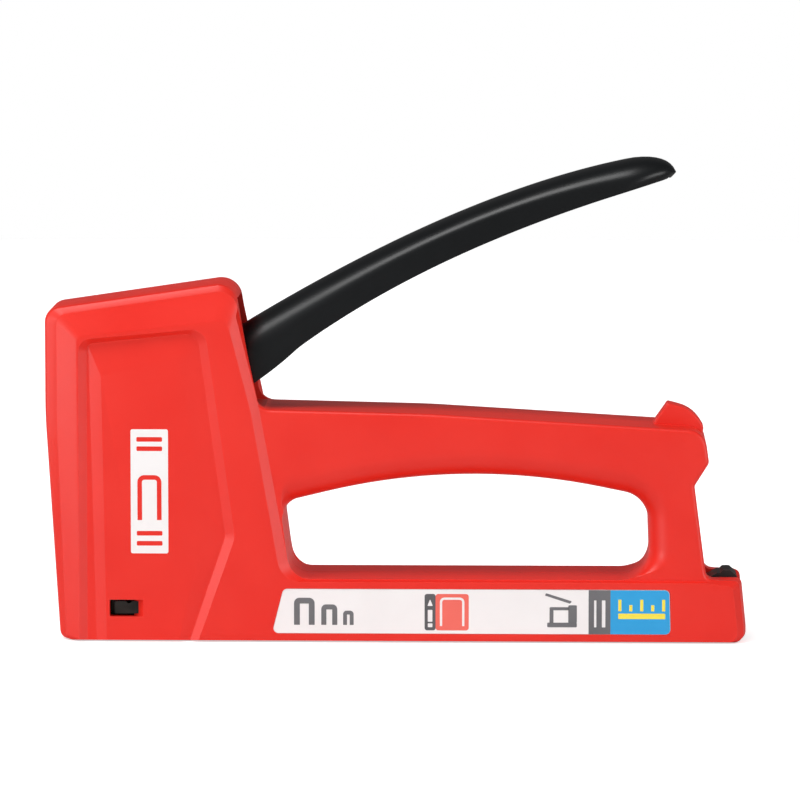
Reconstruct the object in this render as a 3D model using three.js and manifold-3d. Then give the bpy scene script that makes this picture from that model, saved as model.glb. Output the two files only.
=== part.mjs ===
// Hand tacker: a moulded two-part body, a pressed lever that lifts a sprung plunger with a drive
// blade, and a steel magazine along the base with a sliding rail, a sprung follower and a rear catch.
// Millimetres, +Z up, +X from nose to tail. The origin is the middle of the base that it stands on.

import * as THREE from 'three';
import { mergeVertices } from 'three/addons/utils/BufferGeometryUtils.js';
import Module from 'manifold-3d';

const wasm = await Module();
wasm.setup();

// ---- driving dimensions ----

// overall
const bodyLength = 180;
const leverCrest = 124;

// body shell
const wall = 2.5;
const sideWall = 4;
const noseWall = 5.8;
const edgeRound = 1;
const gripInset = 1.5;
const gripRound = 4.5;
const beamHeight = 16.3;
const headLength = 50;
const roofWall = 1.7;
const headRise = 7.2;
const gripFrontHeight = 59.8;
const gripRearHeight = 54.4;
const gripBow = 1.6;
const postFoot = 15.2;
const noseRake = 3.6;
const holeArch = 48;
const holeArchRadius = 184;
const recessDepth = 1.5;
const webBite = 0.5;
const tailOpening = 10.3;

// lever and its pivot
const leverSheet = 1.5;
const pivotInset = 43;
const pivotHeight = 71;
const pinDiameter = 6;
const pivotBossWall = 4.5;
const forkDroop = 14.5;
const forkTip = 2;
const tipInset = 18.3;

// plunger, blade and spring
const cupSize = 15;
const cupWall = 0.9;
const cupFloor = 2;
const cupBase = 38;
const lugHeight = 1.8;
const lugLength = 8;
const bladeWidth = 11.2;
const bladeThickness = 0.8;
const springWire = 1.6;
const springTurns = 7;
const seatThickness = 1.2;
const shelfTop = 30;
const shelfThickness = 3;

// magazine
const channelWidth = 14;
const channelHeight = 14.2;
const channelSheet = 1;
const channelFoot = 1;
const railSheet = 0.8;
const crownGap = 1.2;
const followerLength = 15;
const followerSheet = 0.8;
const guideRodDiameter = 2.6;
const guideRodHeight = 4.6;
const plateThickness = 1.2;
const windowWidth = 8.8;
const windowHeight = 4.4;
const windowInset = 16.7;
const windowSill = 6.5;

// pusher grip and rear catch
const gripBlockLength = 22.2;
const gripBlockTop = 13.6;
const cheekThickness = 1.9;
const catchPinDiameter = 2.4;
const catchPinHeight = 9.5;
const catchTop = 17.9;

// labels and screws
const labelThickness = 0.2;
const labelRecess = 0.3;
const screwDiameter = 3;
const screwHead = 6;
const screwLength = 20;
const screwBossWall = 1.9;
const crossLength = 3.4;
const crossWidth = 0.8;

// clearances
const slideGap = 0.3;
const runningGap = 0.3;
const plungerGap = 0.4;
const forkGap = 0.5;
const leverGap = 0.7;
const cheekGap = 1.5;
const strokeGap = 0.8;

// ---- places that follow from them ----

const noseX = -bodyLength / 2;
const tailX = bodyLength / 2;
const fromNose = (distance) => noseX + distance;
const fromTail = (distance) => tailX - distance;

// across, from the plunger cup outwards
const leverInner = cupSize / 2 + forkGap;
const leverHalf = leverInner + leverSheet;
const cavityHalf = leverHalf + cheekGap;
const bodyHalf = cavityHalf + sideWall;
const gripHalf = bodyHalf - gripInset;
const screwSeat = cavityHalf - 1;
const guideHalf = leverInner - runningGap;
const slotHalf = channelWidth / 2 + slideGap;
const blockHalf = channelWidth / 2 + 0.2;
const tailSlotHalf = blockHalf + 0.4;
const channelInner = channelWidth / 2 - channelSheet;
const railHalf = channelInner - 2 * slideGap - followerSheet;
const catchHalf = blockHalf - cheekThickness - slideGap;

// nose: cavity, nose plate, blade, cup, and the fork that lifts it
const cavityFront = fromNose(noseWall);
const bladeFront = cavityFront + 0.2 + plateThickness + plungerGap;
const cupFront = bladeFront + bladeThickness;
const cupRear = cupFront + cupSize;
const plungerX = (cupFront + cupRear) / 2;
const pivot = { x: fromNose(pivotInset), z: pivotHeight };
const pivotBoss = pinDiameter / 2 + pivotBossWall;
const halfLift = (pivot.x - plungerX) * Math.tan(THREE.MathUtils.degToRad(forkDroop));
const tip = { x: plungerX, z: pivot.z - halfLift };
const cupTop = tip.z + forkTip + plungerGap + lugHeight;
const roofHeight = cupTop + 2 * halfLift + strokeGap;
const headFrontHeight = roofHeight + roofWall;
const headRearHeight = headFrontHeight + headRise;

// along the body
const headRear = noseX + headLength;
const gripStart = headRear + 6.6;
const holeStart = gripStart + 3.6;
const postRear = fromTail(10.6);
const holeEnd = postRear - postFoot;
const channelFront = cupFront + 0.2;
const blockFront = fromTail(1.8 + gripBlockLength);
const blockRear = blockFront + gripBlockLength;
const channelRear = blockFront - 4;
const railTop = channelHeight - channelSheet - crownGap;
const catchPin = { x: blockFront + 3.5, z: catchPinHeight };
const toothX = catchPin.x + 6;

// ---- solids from three.js geometry ----

function solid(geometry) {
  const bare = geometry.index ? geometry.toNonIndexed() : geometry.clone();
  bare.deleteAttribute('normal');
  bare.deleteAttribute('uv');
  const merged = mergeVertices(bare);
  return new wasm.Manifold(new wasm.Mesh({
    numProp: 3,
    vertProperties: merged.attributes.position.array,
    triVerts: new Uint32Array(merged.index.array),
  }));
}

const join = (first, ...others) => others.reduce((sum, other) => sum.add(other), first);
const cut = (base, ...tools) => tools.reduce((rest, tool) => rest.subtract(tool), base);

// A closed outline in X and Z from corners [x, z, radius], with an arc at each corner that has one.
function outline(corners) {
  const shape = new THREE.Shape();
  corners.forEach(([x, z, radius = 0], i) => {
    const corner = new THREE.Vector2(x, z);
    const [previousX, previousZ] = corners.at(i - 1);
    const [nextX, nextZ] = corners[(i + 1) % corners.length];
    const back = new THREE.Vector2(previousX, previousZ).sub(corner).normalize();
    const ahead = new THREE.Vector2(nextX, nextZ).sub(corner).normalize();
    const halfAngle = Math.acos(THREE.MathUtils.clamp(back.dot(ahead), -1, 1)) / 2;
    const reach = radius / Math.tan(halfAngle);
    const start = corner.clone().addScaledVector(back, reach);
    if (i === 0) shape.moveTo(start.x, start.y);
    else shape.lineTo(start.x, start.y);
    if (radius > 0) {
      const end = corner.clone().addScaledVector(ahead, reach);
      const bisector = back.clone().add(ahead).normalize();
      const centre = corner.clone().addScaledVector(bisector, radius / Math.sin(halfAngle));
      const from = start.sub(centre).angle();
      const to = end.sub(centre).angle();
      shape.absarc(centre.x, centre.y, radius, from, to, back.cross(ahead) > 0);
    }
  });
  shape.closePath();
  return shape;
}

// An outline in X and Z, given thickness from one Y to another.
function slab(shape, fromY, toY, curveSegments = 4) {
  const [low, high] = [Math.min(fromY, toY), Math.max(fromY, toY)];
  const options = { depth: high - low, bevelEnabled: false, curveSegments };
  const geometry = new THREE.ExtrudeGeometry(shape, options);
  geometry.rotateX(Math.PI / 2);
  geometry.translate(0, high, 0);
  return solid(geometry);
}

// The same, centred on Y = 0 with rounded edges inside the outline.
function roundedSlab(shape, halfWidth, round, bevelSegments) {
  const geometry = new THREE.ExtrudeGeometry(shape, {
    depth: 2 * (halfWidth - round),
    bevelThickness: round,
    bevelSize: round,
    bevelOffset: -round,
    bevelSegments,
    curveSegments: 3,
  });
  geometry.rotateX(Math.PI / 2);
  geometry.translate(0, halfWidth - round, 0);
  return solid(geometry);
}

function block(x0, x1, y0, y1, z0, z1) {
  const geometry = new THREE.BoxGeometry(Math.abs(x1 - x0), Math.abs(y1 - y0), Math.abs(z1 - z0));
  geometry.translate((x0 + x1) / 2, (y0 + y1) / 2, (z0 + z1) / 2);
  return solid(geometry);
}

function rodY(x, z, radius, y0, y1, segments = 20) {
  const geometry = new THREE.CylinderGeometry(radius, radius, Math.abs(y1 - y0), segments);
  geometry.translate(x, (y0 + y1) / 2, z);
  return solid(geometry);
}

function rodX(x0, x1, z, radius, segments = 16) {
  const geometry = new THREE.CylinderGeometry(radius, radius, x1 - x0, segments);
  geometry.rotateZ(Math.PI / 2);
  geometry.translate((x0 + x1) / 2, 0, z);
  return solid(geometry);
}

function rodZ(x, z0, z1, radius, segments = 20) {
  const geometry = new THREE.CylinderGeometry(radius, radius, z1 - z0, segments);
  geometry.rotateX(Math.PI / 2);
  geometry.translate(x, 0, (z0 + z1) / 2);
  return solid(geometry);
}

class Helix extends THREE.Curve {
  constructor(start, direction, length, radius, turns) {
    super();
    Object.assign(this, { start, direction, length, radius, turns });
    this.side = new THREE.Vector3(0, 1, 0);
    this.across = direction.clone().cross(this.side);
  }

  getPoint(t, target = new THREE.Vector3()) {
    const angle = 2 * Math.PI * this.turns * t;
    return target.copy(this.start)
      .addScaledVector(this.direction, this.length * t)
      .addScaledVector(this.side, this.radius * Math.cos(angle))
      .addScaledVector(this.across, this.radius * Math.sin(angle));
  }
}

// A coil spring between two planes, of round wire laid on a helix.
function coil(start, direction, length, outerDiameter, wire, turns, stepsPerTurn, sides) {
  const inset = start.clone().addScaledVector(direction, wire / 2);
  const helix = new Helix(inset, direction, length - wire, (outerDiameter - wire) / 2, turns);
  const section = new THREE.Shape();
  for (let i = 0; i < sides; i += 1) {
    const angle = (2 * Math.PI * i) / sides;
    const point = [(wire / 2) * Math.cos(angle), (wire / 2) * Math.sin(angle)];
    if (i === 0) section.moveTo(...point);
    else section.lineTo(...point);
  }
  section.closePath();
  const options = { extrudePath: helix, steps: Math.round(turns * stepsPerTurn) };
  return solid(new THREE.ExtrudeGeometry(section, options));
}

// ---- lever curves, used by the lever and by what clears it ----

const leverTop = new THREE.CurvePath();
const topRoot = new THREE.Vector2(pivot.x + 3, pivot.z + 7.1);
const topEnd = new THREE.Vector2(fromTail(29.9), leverCrest - 0.3);
leverTop.add(new THREE.QuadraticBezierCurve(
  topRoot,
  new THREE.Vector2(fromTail(75), leverCrest - 9.3),
  topEnd,
));
leverTop.add(new THREE.QuadraticBezierCurve(
  topEnd,
  new THREE.Vector2(fromTail(20.5), leverCrest + 1.1),
  new THREE.Vector2(fromTail(tipInset), leverCrest - 4),
));
const leverUnderside = new THREE.QuadraticBezierCurve(
  new THREE.Vector2(fromTail(22.2), leverCrest - 5.4),
  new THREE.Vector2(fromTail(78), leverCrest - 21.1),
  new THREE.Vector2(pivot.x + 22.2, pivot.z + 4.8),
);

function shapeFrom(points) {
  return new THREE.Shape(points);
}

// ---- body halves ----

const screwPlaces = [
  [fromNose(33), roofHeight + 0.5],
  [fromNose(38), 21],
  [gripStart + 13.5, 48.5],
  [postRear - 9.4, 46.5],
  [postRear - 7.8, 25],
];

const headOutline = outline([
  [fromNose(noseRake), 0, 2.5],
  [noseX, 58, 150],
  [noseX, headFrontHeight, 3],
  [headRear - 0.3, headRearHeight, 5],
  [gripStart - 0.6, gripFrontHeight],
  [gripStart + 3.4, beamHeight],
  [gripStart + 3.4, 0],
]);

const beamOutline = outline([
  [fromNose(noseRake + 4), 0],
  [fromNose(noseRake + 4), beamHeight],
  [tailX - 1.6, beamHeight, 1.5],
  [tailX, 4.1],
  [tailX, 0, 2.6],
]);

function gripOutline() {
  const shape = outline([
    [headRear - 10, 1],
    [headRear - 10, 75],
    [headRear + 3, 75],
    [gripStart, gripFrontHeight, 6],
    [0, (gripFrontHeight + gripRearHeight) / 2 + gripBow, 200],
    [postRear + 1.2, gripRearHeight, 5],
    [postRear - 3.4, 41, 12],
    [postRear, 1],
  ]);
  shape.holes.push(outline([
    [holeStart + 0.6, beamHeight, 5],
    [holeEnd, beamHeight, 6],
    [holeEnd + 0.6, 37.7, 6.5],
    [(holeStart + holeEnd) / 2, holeArch, holeArchRadius],
    [holeStart - 2, 35.4, 3.5],
  ]));
  return shape;
}

const headRecess = outline([
  [fromNose(9.5), 2],
  [fromNose(9.5), headFrontHeight - 7, 3],
  [fromNose(41.2), headFrontHeight - 3, 4],
  [fromNose(47.9), 27.4, 6],
  [fromNose(38.4), -1],
  [fromNose(20), -1],
]);

const stopHump = outline([
  [fromTail(25), gripRearHeight - 4],
  [fromTail(24.4), gripRearHeight],
  [fromTail(19.9), gripRearHeight + 6.4, 0.8],
  [fromTail(15), gripRearHeight + 4.9, 5],
  [fromTail(11), gripRearHeight - 1.5],
  [fromTail(13), gripRearHeight - 6],
]);

const labelCorners = [
  [gripStart + 1.3, 2.3, 1.5],
  [fromTail(19.3), 2.3, 1.5],
  [fromTail(19.3), 14, 1.5],
  [gripStart + 4.2, 14, 1.5],
];

// side is -1 for the left half and 1 for the right half
function casing(side) {
  const y = (distance) => side * distance;
  const slabIn = (shape, near, far) => slab(shape, y(near), y(far));
  const blockIn = (x0, x1, near, far, z0, z1) => block(x0, x1, y(near), y(far), z0, z1);

  const shells = join(
    roundedSlab(headOutline, bodyHalf, edgeRound, 1),
    roundedSlab(beamOutline, bodyHalf, edgeRound, 1),
    roundedSlab(gripOutline(), gripHalf, gripRound, 2),
  );
  const half = shells.intersect(blockIn(noseX - 1, tailX + 1, 0, bodyHalf + 1, -1, leverCrest));
  const past = -1;

  const floor = 2;
  const headCavity = slabIn(outline([
    [cavityFront, floor],
    [cavityFront, roofHeight],
    [cupRear + 0.6, roofHeight],
    [headRear - 3, headRearHeight - 3.5],
    [gripStart - 4, gripFrontHeight],
    [gripStart - 1, beamHeight + 4],
    [gripStart - 1, floor],
  ]), past, cavityHalf);
  const gripCavity = slabIn(outline([
    [gripStart + 3, 40.5],
    [(holeStart + holeEnd) / 2, holeArch + 3, holeArchRadius],
    [postRear - 4, 41],
    [postRear - 4, 50],
    [0, (gripFrontHeight + gripRearHeight) / 2 + gripBow - 3.5, 200],
    [gripStart + 3, gripFrontHeight - 3.5],
  ]), past, gripHalf - wall);
  const postCavity = blockIn(holeEnd + 3, postRear - 5.5, past, gripHalf - wall, 19, 38);
  const beamCavity = blockIn(
    gripStart + 4,
    blockFront - 4,
    past,
    bodyHalf - wall,
    floor + 1,
    beamHeight - 2.6,
  );

  const magazineSlot = blockIn(cavityFront, blockFront - 2, past, slotHalf, -1, channelHeight + slideGap);
  const tailSlot = blockIn(
    blockFront - 2.1,
    tailX + 1,
    past,
    tailSlotHalf,
    -1,
    channelHeight + slideGap,
  );
  const toothRecess = blockIn(
    toothX - 2.5,
    toothX + 2,
    past,
    catchHalf + 1,
    channelHeight,
    beamHeight - 0.3,
  );
  const tailTop = blockIn(fromTail(tailOpening), tailX + 1, past, tailSlotHalf, 12, beamHeight + 1);
  const leverSlot = blockIn(
    headRear - 6,
    gripStart + 4.4,
    past,
    leverHalf + leverGap,
    gripFrontHeight + 0.2,
    headRearHeight - 3.4,
  );
  const window = blockIn(
    fromNose(windowInset),
    fromNose(windowInset + windowWidth),
    slotHalf - 1,
    bodyHalf + 1,
    windowSill,
    windowSill + windowHeight,
  );
  const recess = slabIn(headRecess, bodyHalf - recessDepth, bodyHalf + 1);
  const labelBed = slabIn(outline(labelCorners), bodyHalf - labelRecess, bodyHalf + 1);
  const hollow = cut(
    half,
    headCavity,
    gripCavity,
    postCavity,
    beamCavity,
    magazineSlot,
    tailSlot,
    toothRecess,
    tailTop,
    leverSlot,
    window,
    recess,
    labelBed,
  );

  // webs: shelf under the plunger, its rear and side guides, the head's foot, ribs in grip and beam
  const shelf = blockIn(
    cupFront + 0.4,
    headRear - 6,
    0,
    cavityHalf + webBite,
    shelfTop - shelfThickness,
    shelfTop,
  );
  const rearGuide = blockIn(
    cupRear + plungerGap,
    cupRear + plungerGap + 2,
    0,
    guideHalf,
    shelfTop - 1,
    roofHeight + webBite,
  );
  const sideGuide = blockIn(
    plungerX - 6,
    plungerX + 6,
    cupSize / 2 + plungerGap,
    cavityHalf + webBite,
    shelfTop - 1,
    tip.z - forkTip - 4,
  );
  const headWeb = blockIn(
    gripStart - 4,
    gripStart - 2,
    0,
    cavityHalf + webBite,
    channelHeight + 0.8,
    gripFrontHeight - 1,
  );
  const gripRibs = [0.35, 0.7].map((share) => {
    const x = THREE.MathUtils.lerp(gripStart, postRear, share);
    return blockIn(x - 1, x + 1, 0, gripHalf - wall + webBite, 43, 54);
  });
  const beamRibs = [0.25, 0.5, 0.75].map((share) => {
    const x = THREE.MathUtils.lerp(gripStart, blockFront, share);
    return blockIn(x - 1, x + 1, slotHalf, bodyHalf - wall + webBite, 1, beamHeight - 1);
  });
  const pivotSocket = rodY(
    pivot.x,
    pivot.z,
    pinDiameter / 2 + 3,
    y(leverHalf + runningGap),
    y(cavityHalf + webBite),
  );
  const bosses = screwPlaces.map(([x, z]) => (
    rodY(x, z, screwDiameter / 2 + screwBossWall, 0, y(gripHalf - wall + 0.4), 16)
  ));
  const hump = slabIn(stopHump, 0, 4.5);
  const filled = join(
    hollow,
    shelf,
    rearGuide,
    sideGuide,
    headWeb,
    pivotSocket,
    hump,
    ...gripRibs,
    ...beamRibs,
    ...bosses,
  );

  const pinHole = rodY(pivot.x, pivot.z, pinDiameter / 2 + runningGap, 0, y(bodyHalf - recessDepth - 0.8));
  const bore = screwDiameter / 2 + runningGap;
  const boreEnd = side > 0 ? bodyHalf + 1 : screwLength - screwSeat + 0.5;
  const screwHoles = screwPlaces.map(([x, z]) => rodY(x, z, bore, y(past), y(boreEnd), 16));
  const drilled = cut(filled, pinHole, ...screwHoles);
  if (side < 0) return drilled;
  const sinks = screwPlaces.map(([x, z]) => (
    rodY(x, z, screwHead / 2 + runningGap, screwSeat, bodyHalf + 1, 16)
  ));
  return cut(drilled, ...sinks);
}

// Pan-head screw with a cross recess, put in from the right half.
function caseScrew([x, z]) {
  const headTop = screwSeat + 1.8;
  const slot = (width, height) => block(
    x - width / 2,
    x + width / 2,
    headTop - 1,
    headTop + 1,
    z - height / 2,
    z + height / 2,
  );
  return cut(
    join(
      rodY(x, z, screwDiameter / 2, screwSeat - screwLength, screwSeat + 0.5, 12),
      rodY(x, z, screwHead / 2, screwSeat, headTop, 16),
    ),
    slot(crossLength, crossWidth),
    slot(crossWidth, crossLength),
  );
}

// ---- lever ----

function lever() {
  const top = leverTop.getPoints(10);
  const side = shapeFrom([
    new THREE.Vector2(pivot.x - 3, pivot.z + 5),
    ...top,
    ...leverUnderside.getPoints(10),
    new THREE.Vector2(pivot.x + 17, pivot.z + 0.9),
    new THREE.Vector2(pivot.x + 11, pivot.z - 4.6),
    new THREE.Vector2(pivot.x, pivot.z - 7),
  ]);
  // the finger is level under the lug, and the arm widens behind it
  const fingerRear = plungerX + lugLength / 2 + 0.8;
  const arm = shapeFrom([
    new THREE.Vector2(tip.x, tip.z - forkTip),
    new THREE.Vector2(pivot.x, pivot.z - pivotBoss + 1),
    new THREE.Vector2(pivot.x, pivot.z + pivotBoss - 1),
    new THREE.Vector2(fingerRear, tip.z + forkTip),
    new THREE.Vector2(tip.x, tip.z + forkTip),
  ]);
  const channel = join(
    slab(side, -leverHalf, leverHalf),
    slab(arm, -leverHalf, leverHalf),
    rodY(pivot.x, pivot.z, pivotBoss, -leverHalf, leverHalf, 24),
    rodY(tip.x, tip.z, forkTip, -leverHalf, leverHalf, 16),
  );
  // the inside follows the top sheet, one sheet thickness below it, and is open underneath
  const inner = top.map((point, i) => {
    const before = top[Math.max(i - 1, 0)];
    const after = top[Math.min(i + 1, top.length - 1)];
    const normal = after.clone().sub(before).normalize().rotateAround(new THREE.Vector2(), -Math.PI / 2);
    return point.clone().addScaledVector(normal, leverSheet);
  });
  const inside = shapeFrom([
    ...inner,
    new THREE.Vector2(inner.at(-1).x, inner.at(-1).y - 20),
    new THREE.Vector2(topRoot.x + 30, pivot.z - 20),
    new THREE.Vector2(topRoot.x, pivot.z - 20),
  ]);
  const between = block(noseX, topRoot.x + 2, -leverInner, leverInner, pivot.z - 20, leverCrest);
  return cut(
    channel,
    slab(inside, -leverInner, leverInner),
    between,
    rodY(pivot.x, pivot.z, pinDiameter / 2 + runningGap, -bodyHalf, bodyHalf),
  );
}

const pinHalf = bodyHalf - recessDepth - 1.1;
const pivotPin = () => rodY(pivot.x, pivot.z, pinDiameter / 2, -pinHalf, pinHalf);

function pivotSpacer() {
  const half = leverInner - runningGap;
  return cut(
    rodY(pivot.x, pivot.z, pinDiameter / 2 + 1.8, -half, half),
    rodY(pivot.x, pivot.z, pinDiameter / 2 + runningGap, -bodyHalf, bodyHalf),
  );
}

// ---- plunger, blade and spring ----

const rivetHeight = cupBase + 12;
const rivetRadius = 1.2;
const springRadius = cupSize / 2 - cupWall - 0.6;

function plunger() {
  const half = cupSize / 2;
  const lugs = block(
    plungerX - lugLength / 2,
    plungerX + lugLength / 2,
    -leverHalf,
    leverHalf,
    cupTop - lugHeight,
    cupTop,
  );
  return cut(
    join(block(cupFront, cupRear, -half, half, cupBase, cupTop), lugs),
    rodZ(plungerX, cupBase + cupFloor, cupTop + 1, half - cupWall),
    rodX(cupFront - 1, cupFront + cupWall + 4, rivetHeight, rivetRadius + 0.1, 12),
  );
}

function driverBlade() {
  return cut(
    block(bladeFront, cupFront, -bladeWidth / 2, bladeWidth / 2, 0.8, cupBase + 20),
    rodX(bladeFront - 1, cupFront + 1, rivetHeight, rivetRadius + 0.1, 12),
  );
}

const driverRivet = () => join(
  rodX(bladeFront - 0.8, bladeFront, rivetHeight, 2.4, 12),
  rodX(bladeFront - 0.1, cupFront + cupWall, rivetHeight, rivetRadius, 12),
);

const seatTop = roofHeight - 0.3;
const springBase = cupBase + cupFloor + 0.3;
const springTop = seatTop - seatThickness - 0.3;

const mainSpring = () => coil(
  new THREE.Vector3(plungerX, 0, springBase),
  new THREE.Vector3(0, 0, 1),
  springTop - springBase,
  2 * springRadius,
  springWire,
  springTurns,
  14,
  6,
);

function springSeat() {
  const pegRadius = springRadius - springWire - 0.6;
  return join(
    rodZ(plungerX, seatTop - seatThickness, seatTop, springRadius),
    rodZ(plungerX, seatTop - seatThickness - 3, seatTop - 0.2, pegRadius, 16),
  );
}

const shockAbsorber = () => block(
  cupFront + 0.4,
  cupRear - 0.2,
  -cupSize / 2 + 0.4,
  cupSize / 2 - 0.4,
  shelfTop + 0.3,
  cupBase - 0.3,
);

const nosePlate = () => block(
  bladeFront - 0.4 - plateThickness,
  bladeFront - 0.4,
  -channelWidth / 2,
  channelWidth / 2,
  0.3,
  shelfTop,
);

// ---- magazine ----

function magazineChannel() {
  const half = channelWidth / 2;
  const lug = block(
    fromNose(windowInset + 1.2),
    fromNose(windowInset + windowWidth - 1.2),
    -(bodyHalf - recessDepth - 0.4),
    bodyHalf - recessDepth - 0.4,
    windowSill + 0.6,
    windowSill + windowHeight - 0.6,
  );
  const inside = block(
    channelFront - 1,
    channelRear + 1,
    -channelInner,
    channelInner,
    channelFoot - 1,
    channelHeight - channelSheet,
  );
  return cut(join(block(channelFront, channelRear, -half, half, channelFoot, channelHeight), lug), inside);
}

function magazineRail() {
  const front = channelFront + 0.4;
  const inner = railHalf - railSheet;
  const frontWall = cut(
    block(front, front + 1.4, -railHalf, railHalf, channelFoot + 1, railTop),
    rodX(front - 1, front + 2, guideRodHeight, guideRodDiameter / 2 + runningGap),
  );
  return join(
    cut(
      block(front, blockFront, -railHalf, railHalf, channelFoot, railTop),
      block(front - 1, blockFront + 1, -inner, inner, channelFoot - 1, railTop - railSheet),
      block(front + 1.5, blockFront - 6, -1.6, 1.6, railTop - 2, railTop + 1),
    ),
    frontWall,
  );
}

const rodFront = channelFront + 0.6;
const rodRear = blockFront + 8;
const guideRod = () => rodX(rodFront, rodRear, guideRodHeight, guideRodDiameter / 2, 10);

const ringLength = 9;
const ringFront = channelFront + 2.6;

function follower() {
  const inner = railHalf + slideGap;
  const outer = channelInner - slideGap;
  const front = channelFront + 0.3;
  const rear = front + followerLength;
  const underTop = channelHeight - channelSheet;
  const saddle = cut(
    block(front, rear, -outer, outer, channelFoot + 0.5, underTop - 0.2),
    block(front - 1, rear + 1, -inner, inner, channelFoot, railTop + slideGap),
  );
  return cut(
    join(
      saddle,
      block(ringFront, ringFront + ringLength, -1.3, 1.3, guideRodHeight + 1, underTop - 0.4),
      rodX(ringFront, ringFront + ringLength, guideRodHeight, guideRodDiameter / 2 + 1.7),
    ),
    rodX(ringFront - 1, ringFront + ringLength + 1, guideRodHeight, guideRodDiameter / 2 + runningGap),
  );
}

const followerSpring = () => coil(
  new THREE.Vector3(ringFront + ringLength + 0.3, 0, guideRodHeight),
  new THREE.Vector3(1, 0, 0),
  blockFront - ringFront - ringLength - 0.6,
  guideRodDiameter + 2.6,
  0.8,
  18,
  8,
  4,
);

// ---- pusher grip and rear catch ----

const armFloor = guideRodHeight + 2;
const catchSpringX = blockFront + 14;

function pusherGrip() {
  return cut(
    block(blockFront, blockRear, -blockHalf, blockHalf, channelFoot, gripBlockTop),
    block(
      blockFront + 0.8,
      blockRear + 1,
      -catchHalf - slideGap,
      catchHalf + slideGap,
      armFloor,
      gripBlockTop + 1,
    ),
    rodX(blockFront - 1, rodRear + 0.4, guideRodHeight, guideRodDiameter / 2 + runningGap),
    rodY(catchPin.x, catchPin.z, catchPinDiameter / 2 + 0.1, -channelWidth, channelWidth, 16),
    rodZ(catchSpringX, 3, armFloor + 1, 2.3, 16),
  );
}

function rearCatch() {
  const arm = outline([
    [catchPin.x, catchPin.z - 2.2],
    [blockFront + 12, catchPin.z + 0.4],
    [blockRear - 0.4, catchPin.z + 3.2, 1],
    [blockRear - 0.4, catchTop - 1.2, 1],
    [blockRear - 3.4, catchTop, 1],
    [blockRear - 4.6, catchTop - 1],
    [blockRear - 5.8, catchTop, 1],
    [blockRear - 7.4, catchTop - 2],
    [blockFront + 13.4, gripBlockTop - 0.4],
    [catchPin.x, gripBlockTop - 1.6],
  ]);
  const tooth = outline([
    [toothX - 1.6, catchPin.z],
    [toothX + 0.9, catchPin.z],
    [toothX + 0.9, channelHeight + 1.4],
    [toothX - 0.3, channelHeight + 1.4],
    [toothX - 1.6, gripBlockTop - 0.4],
  ]);
  return cut(
    join(
      slab(arm, -catchHalf, catchHalf),
      slab(tooth, -catchHalf, catchHalf),
      rodY(catchPin.x, catchPin.z, 2.6, -catchHalf, catchHalf),
    ),
    rodY(catchPin.x, catchPin.z, catchPinDiameter / 2 + runningGap, -channelWidth, channelWidth, 16),
  );
}

const catchPinRod = () => rodY(catchPin.x, catchPin.z, catchPinDiameter / 2, -blockHalf, blockHalf, 12);

const catchSpring = () => coil(
  new THREE.Vector3(catchSpringX, 0, 3.2),
  new THREE.Vector3(0, 0, 1),
  catchPin.z - 2.9,
  3.6,
  0.6,
  4,
  8,
  5,
);

// ---- printed labels along the base beam ----

function label(side) {
  const face = bodyHalf - labelRecess;
  const shrink = 0.1;
  const corners = labelCorners.map(([x, z, radius], i) => [
    x + (i === 0 || i === 3 ? shrink : -shrink),
    z + (i < 2 ? shrink : -shrink),
    radius,
  ]);
  return slab(outline(corners), side * face, side * (face + labelThickness));
}

// ---- the assembly ----

const red = new THREE.MeshStandardMaterial({ color: 0xe8392e, roughness: 0.45, metalness: 0 });
const black = new THREE.MeshStandardMaterial({ color: 0x101418, roughness: 0.25, metalness: 0 });
const blackPlastic = new THREE.MeshStandardMaterial({ color: 0x1c1e20, roughness: 0.5, metalness: 0 });
const steel = new THREE.MeshStandardMaterial({ color: 0xb4b6b8, roughness: 0.35, metalness: 1 });
const darkSteel = new THREE.MeshStandardMaterial({ color: 0x4a4c50, roughness: 0.4, metalness: 1 });
const rubber = new THREE.MeshStandardMaterial({ color: 0x202020, roughness: 0.9, metalness: 0 });
const paper = new THREE.MeshStandardMaterial({ color: 0xf7f2f1, roughness: 0.6, metalness: 0 });

const tacker = new THREE.Group();

function place(name, shape, material) {
  const { vertProperties, triVerts } = shape.getMesh();
  const geometry = new THREE.BufferGeometry();
  geometry.setAttribute('position', new THREE.BufferAttribute(vertProperties, 3));
  geometry.setIndex(new THREE.BufferAttribute(triVerts, 1));
  geometry.computeVertexNormals();
  const mesh = new THREE.Mesh(geometry, material);
  mesh.name = name;
  tacker.add(mesh);
}

place('casing_left', casing(-1), red);
place('casing_right', casing(1), red);
screwPlaces.forEach((spot, i) => place(`case_screw_${i + 1}`, caseScrew(spot), steel));
place('squeeze_lever', lever(), black);
place('lever_pivot_pin', pivotPin(), steel);
place('lever_spacer', pivotSpacer(), steel);
place('plunger', plunger(), darkSteel);
place('driver_blade', driverBlade(), steel);
place('driver_rivet', driverRivet(), steel);
place('main_spring', mainSpring(), darkSteel);
place('spring_seat', springSeat(), blackPlastic);
place('shock_absorber', shockAbsorber(), rubber);
place('nose_plate', nosePlate(), steel);
place('magazine_channel', magazineChannel(), darkSteel);
place('magazine_rail', magazineRail(), steel);
place('guide_rod', guideRod(), steel);
place('follower', follower(), darkSteel);
place('follower_spring', followerSpring(), steel);
place('pusher_grip', pusherGrip(), blackPlastic);
place('rear_catch', rearCatch(), blackPlastic);
place('catch_pin', catchPinRod(), steel);
place('catch_spring', catchSpring(), steel);
place('label_left', label(-1), paper);
place('label_right', label(1), paper);

export default tacker;
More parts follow.
